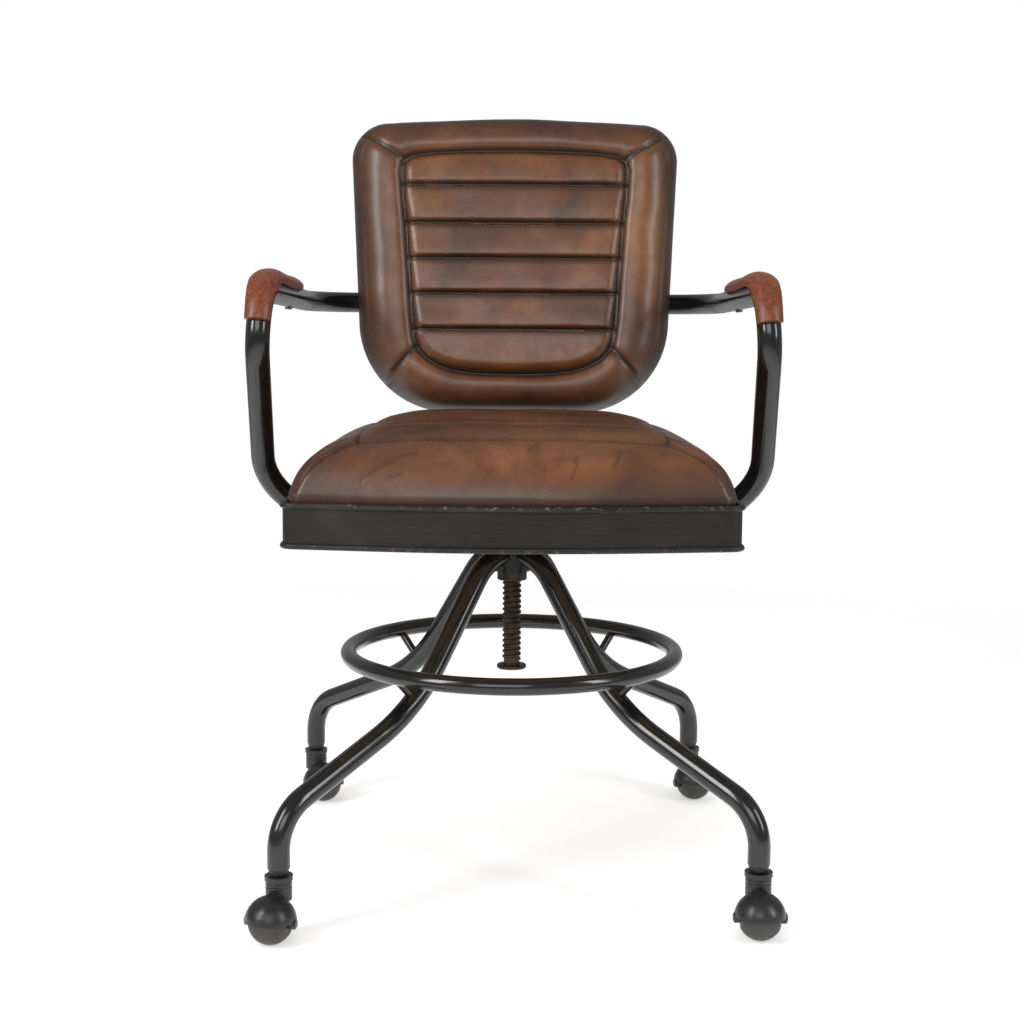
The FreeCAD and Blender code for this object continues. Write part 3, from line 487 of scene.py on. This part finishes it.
def stitches(name, piece, lines, toward, thick):
    """Thread along seams: lines of positions in metres, cast on to the piece along toward."""
    toward = Vector(toward)
    vertices, faces = [], []
    for line in lines:
        line = np.asarray(line, float)
        steps = np.r_[0, np.cumsum(np.linalg.norm(np.diff(line, axis=0), axis=1))]
        for along in np.arange(STITCH_SPACING / 2, steps[-1], STITCH_SPACING):
            ends = []
            for offset in (-STITCH_LENGTH / 2, STITCH_LENGTH / 2):
                spot = Vector([np.interp(along + offset, steps, line[:, k]) for k in range(3)])
                hit, place, normal, _ = piece.ray_cast(spot - toward * RAY_RISE, toward)
                if hit:
                    ends.append((place, normal))
            if len(ends) < 2:
                continue
            (a, up), (b, _) = ends
            run = (b - a).normalized()
            side = run.cross(up).normalized()
            first = len(vertices)
            for share, fat in ((0.0, 0.3), (0.2, 1.0), (0.8, 1.0), (1.0, 0.3)):
                centre = a.lerp(b, share) + up * thick * (0.55 * fat - 0.25)
                for k in range(6):
                    turn = k * math.pi / 3
                    vertices.append(
                        centre + (side * math.cos(turn) + up * math.sin(turn)) * thick * fat
                    )
            for ring in range(3):
                for k in range(6):
                    i, j = first + ring * 6 + k, first + ring * 6 + (k + 1) % 6
                    faces.append((i, j, j + 6, i + 6))
            faces.append(tuple(range(first + 5, first - 1, -1)))
            faces.append(tuple(range(first + 18, first + 24)))
    sewn = add_object(name, smooth_mesh(name, [tuple(v) for v in vertices], faces, THREAD))
    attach(sewn, "seat")


def ripple(points, amount, seed):
    """Slow unevenness of stuffed leather, the same every run."""
    generator = np.random.default_rng(seed)
    total = np.zeros(len(points))
    for _ in range(9):
        direction = generator.normal(size=2)
        direction /= np.linalg.norm(direction)
        length = generator.uniform(38, 120)
        total += np.sin(points @ direction * 2 * math.pi / length + generator.uniform(0, 6.28))
    return amount * total / 3


# ---------------------------------------------------------------- seat cushion

HALF_WIDTH, FRONT, BACK, BOW = 230.0, -207.4, 215.0, 34.0
EDGE = 5.5
SEAT_CENTRE = np.array([0.0, -10.0])
SEAT_PANEL = 157.0
SEAT_FRONT_SEAM, SEAT_REAR_SEAM = -168.0, 148.0
SEAT_CHANNEL = 45.0
# the seam cuts the panel's rear corners by this much across and along
SEAT_CUT = (22.0, 20.0)
SEAT_FRONT_CORNER, SEAT_REAR_CORNER = (222.0, -204.0), (186.0, 182.0)
# height as a share of the seat's thickness, by distance in from the edge
SEAT_PROFILE = ([0, 2, 6.5, 16.5, 32.5, 52.5, 82.5, 116.5],
                [0.22, 0.32, 0.43, 0.57, 0.70, 0.81, 0.91, 0.985])
# below the rim: share of the thickness, how far drawn in, darkness (painted shade where the leather
# rolls under, with burnish)
SEAT_WALLS = ((0.14, 0.4, 0.75), (0.06, 1.2, 0.9), (0.015, 4.0, 1.0))
SEAT_CREASES = [
    [(-182, -217), (-150, -205), (-118, -199)],
    [(-166, -221), (-138, -212), (-108, -208)],
    [(-150, -207), (-122, -196), (-96, -192)],
    [(16, -194), (20, -184), (27, -176)],
    [(100, -206), (106, -196), (108, -184)],
    [(58, -216), (63, -208), (64, -199)],
]


def seat_outline(inset):
    wide = HALF_WIDTH - inset
    share = wide / HALF_WIDTH
    corners = [(0, FRONT + inset - BOW * share), (wide, FRONT + inset), (wide, BACK - inset),
               (-wide, BACK - inset), (-wide, FRONT + inset)]
    front, rear = 14 + 0.15 * inset, 130 - 0.4 * inset
    outline, middles = rounded(corners, [880 * share, front, rear, rear, front])
    return outline, [middles[4], middles[1], middles[2], middles[3]]


def make_seat():
    low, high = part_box("seat_leather")
    crown = high.z / MM
    floor = low.z / MM
    outline, corners = seat_outline(EDGE)
    plan = spread_grid(outline, corners, SEAT_CENTRE, CUSHION_CROWD)
    inset = inside_distance(plan, outline)
    rise = crown - floor
    height = floor + rise * settle(np.interp(inset, *SEAT_PROFILE), SETTLE_ROUNDS)

    turn_x, turn_y = SEAT_PANEL - SEAT_CUT[0], SEAT_REAR_SEAM - SEAT_CUT[1]
    seams = [[(-SEAT_PANEL, SEAT_FRONT_SEAM), (SEAT_PANEL, SEAT_FRONT_SEAM)]]
    seams += both_sides((SEAT_PANEL, SEAT_FRONT_SEAM), (SEAT_PANEL, turn_y))
    seams += [[(-SEAT_PANEL, turn_y), (-turn_x, SEAT_REAR_SEAM),
               (turn_x, SEAT_REAR_SEAM), (SEAT_PANEL, turn_y)]]
    mitres = both_sides((SEAT_PANEL, SEAT_FRONT_SEAM), SEAT_FRONT_CORNER)
    mitres += both_sides((SEAT_PANEL - 8, SEAT_REAR_SEAM - 8), SEAT_REAR_CORNER)
    x, y = plan[:, 0], plan[:, 1]
    inside = (np.abs(x) < SEAT_PANEL) & (y > SEAT_FRONT_SEAM) & (y < SEAT_REAR_SEAM)
    relief = np.zeros(len(plan))
    dark = np.zeros(len(plan))
    # painted shade: darker in the seams and mitres and along the creases
    for line in seams:
        gap = to_line(plan, line)
        relief -= groove(gap, 2.4, 2.6)
        dark = np.maximum(dark, 0.9 * fall(gap, 3.2, 1.6))
    for line in mitres:
        gap = to_line(plan, line)
        relief -= groove(gap, 1.8, 2.0) - 0.7 * fall(gap - 4, 2.0, 2)
        dark = np.maximum(dark, 0.75 * fall(gap, 1.8, 1.4))
    for crease in SEAT_CREASES:
        gap = to_line(plan, crease)
        relief -= 0.75 * fall(gap, 1.9, 2)
        dark = np.maximum(dark, 0.4 * fall(gap, 1.6, 2))
    along = (y - SEAT_FRONT_SEAM) / SEAT_CHANNEL
    share = along - np.floor(along)
    side_gap = np.clip((SEAT_PANEL - np.abs(x)) / 14, 0, 1)
    relief += np.where(inside, pillow(share, 2.8) * side_gap**0.5 - 0.6, 0)
    # painted shade along the channel seams
    channel_gap = np.minimum(share, 1 - share) * SEAT_CHANNEL
    channel_dark = np.where(inside, fall(channel_gap, 3.2, 1.3), 0)
    dark = np.maximum(dark, channel_dark)
    relief -= np.where(inside, groove(channel_gap, 1.6, 2.6), 0)
    front_border = np.clip((-y - 60) / 60, 0, 1) * np.sin(math.pi * np.minimum(inset, 60) / 60)
    relief += np.where(inside, 0, 1.6 * front_border)
    relief -= 3.4 * np.clip((y - 20) / 120, 0, 1) * np.clip((np.abs(x) - 60) / 90, 0, 1)
    # painted shade on the rolled-off sides and edge, with burnish at the edge
    sides = np.clip((np.abs(x) - 150) / 70, 0, 1) * fall(inset, 26.0, 2)
    rim_dark = np.maximum(0.6 * fall(inset, 5.0, 1.6), 0.7 * sides)
    # painted shade: the seat's top darker than its front face, rising from y -190 mm to -130 mm
    dark = np.maximum(dark, 0.5 * np.clip((y + 190) / 60, 0, 1))
    dark = np.clip(np.maximum(dark, rim_dark), 0, 1)
    top = np.c_[plan, height + relief + ripple(plan, 0.5, 3)]

    rim = top[rim_loop()]
    walls = []
    for level, drawn, shade in SEAT_WALLS:
        wall = rim.copy()
        toward = rim[:, :2] / np.linalg.norm(rim[:, :2], axis=1)[:, None]
        wall[:, :2] -= toward * drawn
        wall[:, 2] = floor + rise * level
        walls.append((wall, shade))
    piece = pad_mesh("seat_cushion", top, walls, dark)
    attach(piece, "seat")
    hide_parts("seat_leather", "seat_foam")

    lines = []
    for channel in range(1, int((SEAT_REAR_SEAM - SEAT_FRONT_SEAM) / SEAT_CHANNEL) + 1):
        beside = SEAT_FRONT_SEAM + channel * SEAT_CHANNEL + 4.4
        lines.append([(-SEAT_PANEL + 6, beside), (SEAT_PANEL - 6, beside)])
    beside = SEAT_FRONT_SEAM - 4.6
    lines.append([(-SEAT_PANEL + 4, beside), (SEAT_PANEL - 4, beside)])
    runs = [[(x0 * MM, y0 * MM, crown * MM), (x1 * MM, y1 * MM, crown * MM)]
            for (x0, y0), (x1, y1) in lines]
    stitches("seat_stitching", piece, runs, (0, 0, -1), SEAT_THREAD)


# ---------------------------------------------------------------- back cushion

SLOPE = math.radians(6.3)
BACK_FOOT = np.array([0.0, 191.0, 499.0])
UP_SLOPE = np.array([0.0, math.sin(SLOPE), math.cos(SLOPE)])
THROUGH = np.array([0.0, math.cos(SLOPE), -math.sin(SLOPE)])
BACK_HEIGHT, BACK_LOW, BACK_HIGH, BACK_CROWN = 364.0, 187.5, 204.5, 6.5
BACK_DEEP = 54.0
BACK_CENTRE = np.array([0.0, BACK_HEIGHT * 0.52])
# heights above the floor of the channelled panel's ends and of the grooves between them
PANEL_TOP, PANEL_FOOT = 818.0, 544.5
GROOVES = [775.6, 729.1, 686.2, 643.4, 599.3]
# depth behind the back's front plane, by distance in from the edge
BACK_PROFILE = ([0, 1, 3, 8, 16, 26, 36, 62, 90],
                [33.5, 26.5, 21.6, 15.6, 10.8, 7.0, 4.4, 1.6, 1.4])
# behind the rim: depth, how far drawn in, darkness (painted shade on the sides rolling away, with
# burnish)
BACK_WALLS = ((38.0, 0.2, 0.8), (46.0, 2.5, 0.85), (53.8, 6.2, 0.95))
# how far in from the back's edge the rear panel and its stitches lie, and the panel's rise
REAR_INSET, REAR_STITCH_INSET = 6.5, 14.5
REAR_PROFILE = ([0, 1.5, 4, 7, 8, 9, 13], [0.2, 1.5, 2.3, 2.4, 1.9, 2.4, 2.7])


def up_slope(height):
    """How far up the back's slope a height above the floor lies."""
    return (height - BACK_FOOT[2]) / math.cos(SLOPE)


def leaned(plan, depth):
    """Turns (across, up the slope) and a depth into a position."""
    return (BACK_FOOT + plan[:, :1] * np.array([[1.0, 0, 0]]) + plan[:, 1:2] * UP_SLOPE
            + np.asarray(depth)[:, None] * THROUGH)


def back_outline(inset):
    low, high, top = BACK_LOW - inset, BACK_HIGH - inset, BACK_HEIGHT - inset
    corners = [(low, inset), (high, top - BACK_CROWN), (0, top + BACK_CROWN / 3),
               (-high, top - BACK_CROWN), (-low, inset)]
    lower, upper = 114 - 0.4 * inset, 46 - 0.2 * inset
    outline, middles = rounded(corners, [lower, upper, 6 * (high - upper), upper, lower])
    return outline, [middles[4], middles[0], middles[1], middles[3]]


def panel_line():
    """The seam round the channelled panel, as (across, up the slope)."""
    right = [(0, PANEL_TOP), (60, 817.0), (104, 814.5), (127, 811.0), (136, 804.0), (138.5, 793),
             (137, 760), (133.5, 729), (131.5, 700), (129.5, 672), (127.5, 643), (125, 610),
             (122.5, 588), (117, 574), (106, 563), (90, 554.5), (72, 549), (50, 546), (25, 544.8),
             (0, PANEL_FOOT)]
    left = [(-x, z) for x, z in right[::-1]]
    return [(x, up_slope(z)) for x, z in right + left[1:]]


def inside_line(points, line):
    """Which points lie inside a closed polyline."""
    found = np.zeros(len(points), bool)
    px, py = points[:, 0], points[:, 1]
    for (ax, ay), (bx, by) in zip(line, line[1:] + line[:1]):
        if ay == by:
            continue
        crosses = (ay > py) != (by > py)
        found ^= crosses & (px < (bx - ax) * (py - ay) / (by - ay) + ax)
    return found


def make_back():
    outline, corners = back_outline(0)
    plan = spread_grid(outline, corners, BACK_CENTRE, CUSHION_CROWD)
    inset = inside_distance(plan, outline)
    depth = settle(np.interp(inset, *BACK_PROFILE), SETTLE_ROUNDS)

    seam = panel_line()
    inside = inside_line(plan, seam)
    gap = to_line(plan, seam)
    relief = -groove(gap, 5.6, 4.6)
    # painted shade in the panel seam and the mitres
    dark = fall(gap, 4.2, 1.5)
    mitres = both_sides((136.0, up_slope(808)), (188.0, up_slope(839)))
    mitres += both_sides((121.0, up_slope(577)), (163.0, up_slope(532)))
    for line in mitres:
        away = to_line(plan, line)
        relief -= groove(away, 3.6, 3.4)
        dark = np.maximum(dark, fall(away, 3.0, 1.5))
    levels = [up_slope(z) for z in GROOVES]
    edges = [up_slope(PANEL_TOP)] + levels + [up_slope(PANEL_FOOT)]
    y = plan[:, 1]
    edge_fade = np.clip(gap / 13, 0, 1) ** 0.6
    for upper, lower in zip(edges[:-1], edges[1:]):
        share = (y - lower) / (upper - lower)
        here = inside & (share >= 0) & (share <= 1)
        relief += np.where(here, lip(share, 5.4) * edge_fade, 0)
    for level in levels:
        away = y - level
        relief -= np.where(inside, groove(away, 2.2, 2.6), 0)
        # painted shade in each groove, and a painted shadow below it cast by the overhanging lip
        dark = np.maximum(dark, np.where(inside, fall(away, 3.0, 1.6), 0))
        shadow = np.where(away > 0, 0, fall(away, 7.5, 2))
        dark = np.maximum(dark, np.where(inside, 0.74 * shadow, 0))
    relief += np.where(inside, 0, pillow(np.clip(gap / 52, 0, 1), 4.8, 2.0))
    # painted shade on the border's rolled-off edge, with burnish
    rim_dark = 0.92 * fall(inset, 21.0, 1.6)
    dark = np.clip(np.maximum(dark, rim_dark), 0, 1)
    front = leaned(plan, depth - relief + ripple(plan, 0.45, 8))

    loop = rim_loop()
    walls = []
    for wall_depth, drawn, shade in BACK_WALLS:
        edge = plan[loop]
        toward = edge - BACK_CENTRE
        toward /= np.linalg.norm(toward, axis=1)[:, None]
        walls.append((leaned(edge - toward * drawn, np.full(len(loop), wall_depth)), shade))
    piece = pad_mesh("back_cushion", front, walls, dark)
    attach(piece, "seat")
    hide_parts("back_leather", "back_foam")

    lines = []
    for level in levels:
        reach = 130 - 8 * (levels[0] - level) / (levels[0] - levels[-1])
        across = np.linspace(-reach, reach, 140)
        run = np.c_[across, np.full(len(across), level - 3.6)]
        lines.append(leaned(run, np.full(len(run), 3.0)) * MM)
    stitches("back_stitching", piece, lines, THROUGH, BACK_THREAD)


def make_rear_panel():
    """The stitched leather panel that closes the back, lightly padded."""
    outline, corners = back_outline(REAR_INSET)
    plan = spread_grid(outline, corners, BACK_CENTRE, PANEL_CROWD)
    inset = inside_distance(plan, outline)
    rise = np.interp(inset, *REAR_PROFILE)
    depth = BACK_DEEP + settle(rise, 2) + ripple(plan, 0.08, 5)
    # painted shade at the panel's edge and in its groove 8 mm in, with burnish at the edge
    dark = np.clip(0.7 * fall(inset, 4.0, 1.5) + 0.6 * fall(inset - 8, 1.8, 2), 0, 1)
    points = leaned(plan, depth)
    rim = plan[rim_loop()]
    # the wall is painted fully dark as shade
    walls = [(leaned(rim, np.full(len(rim), BACK_DEEP - 0.4)), 1.0)]
    # the grid is seen from behind here, so it is mirrored across to face the other way
    points[:, 0] *= -1
    walls[0][0][:, 0] *= -1
    piece = pad_mesh("back_rear_panel", points, walls, dark)
    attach(piece, "seat")
    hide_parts("back_panel")
    ring, _ = back_outline(REAR_STITCH_INSET)
    run = leaned(np.vstack([ring, ring[:1]]), np.full(len(ring) + 1, BACK_DEEP + 2.2)) * MM
    stitches("rear_panel_stitching", piece, [run], -THROUGH, BACK_THREAD)


# ---------------------------------------------------------------- studio

DOME_RADIUS, FLOOR_REACH = 30, 6
# the floor fades out between these distances from the middle
FLOOR_FADE = (0.75, 2.1)
CAMERA_PLACE = (0, -1.822, 0.614)
# pitch, roll and yaw in radians
CAMERA_TURN = (0.1185, -0.0066, -0.0003)
LENS, SENSOR = 57.586, 36


def area_light(name, place, aim, size, power, mirrored=True):
    data = bpy.data.lights.new(name, "AREA")
    data.shape = "RECTANGLE"
    data.size, data.size_y = size
    data.energy = power
    lamp = add_object(name, data)
    lamp.location = place
    lamp.visible_glossy = mirrored
    lamp.rotation_euler = (Vector(aim) - Vector(place)).to_track_quat("-Z", "Y").to_euler()


def make_studio():
    """A white dome that only the camera sees, a pale floor that fades into it, and soft boxes."""
    bpy.ops.mesh.primitive_uv_sphere_add(radius=DOME_RADIUS, segments=48, ring_count=24)
    dome = bpy.context.object
    dome.name = "studio_dome"
    white = bpy.data.materials.new("studio_white")
    white.use_nodes = True
    white.node_tree.nodes.remove(white.node_tree.nodes["Principled BSDF"])
    glow = white.node_tree.nodes.new("ShaderNodeEmission")
    sink = white.node_tree.nodes["Material Output"].inputs["Surface"]
    white.node_tree.links.new(glow.outputs[0], sink)
    dome.data.materials.append(white)
    for ray in ("diffuse", "glossy", "transmission", "volume_scatter", "shadow"):
        setattr(dome, "visible_" + ray, False)

    mesh = bpy.data.meshes.new("studio_floor")
    signs = ((-1, -1), (1, -1), (1, 1), (-1, 1))
    mesh.from_pydata([(x * FLOOR_REACH, y * FLOOR_REACH, 0) for x, y in signs], [], [(0, 1, 2, 3)])
    floor = add_object("studio_floor", mesh)
    paper = Shader("studio_paper", Roughness=0.9, Specular_IOR_Level=0.1, Emission_Strength=0.42)
    paper.surface.inputs["Emission Color"].default_value = (1, 1, 1, 1)
    paper.colour(paper.ramp(paper.noise(0.6, 1.0), [(0.3, (0.87, 0.87, 0.87)),
                                                    (0.7, (0.89, 0.89, 0.89))]))
    reach = paper.node("VectorMath", operation="LENGTH")
    paper.link(paper.place, reach.inputs[0])
    paper.link(paper.spread(reach.outputs["Value"], 1.0, 0.0, *FLOOR_FADE),
               paper.surface.inputs["Alpha"])
    mesh.materials.append(paper.material)

    world = bpy.data.worlds.new("studio")
    world.use_nodes = True
    world.node_tree.nodes["Background"].inputs["Color"].default_value = (1, 1, 1, 1)
    world.node_tree.nodes["Background"].inputs["Strength"].default_value = 0.32
    bpy.context.scene.world = world
    area_light("key_left", (-1.9, -1.5, 1.7), (0, 0, 0.5), (0.7, 1.6), 38)
    area_light("fill_right", (2.1, -1.3, 1.4), (0, 0, 0.5), (0.5, 1.5), 20)
    area_light("overhead", (-0.1, 0.1, 2.7), (0, 0, 0.4), (1.9, 1.7), 24, mirrored=False)
    area_light("front_sheen", (-0.3, -2.7, 1.5), (0, 0, 0.65), (1.7, 1.1), 20)
    view = bpy.context.scene.view_settings
    view.view_transform = "Standard"
    view.look = "None"


def make_camera():
    pitch, roll, yaw = CAMERA_TURN
    ahead = Vector((math.sin(yaw) * math.cos(pitch), math.cos(yaw) * math.cos(pitch),
                    -math.sin(pitch)))
    level = Vector((math.cos(yaw), -math.sin(yaw), 0))
    down = ahead.cross(level)
    right = level * math.cos(roll) + down * math.sin(roll)
    below = down * math.cos(roll) - level * math.sin(roll)
    data = bpy.data.cameras.new("camera")
    data.sensor_width = SENSOR
    data.lens = LENS
    camera = add_object("camera", data)
    turn = Matrix((right, -below, -ahead)).transposed().to_4x4()
    camera.matrix_world = Matrix.Translation(CAMERA_PLACE) @ turn
    bpy.context.scene.camera = camera


make_seat()
make_back()
make_rear_panel()
make_studio()
make_camera()
bpy.context.view_layer.update()
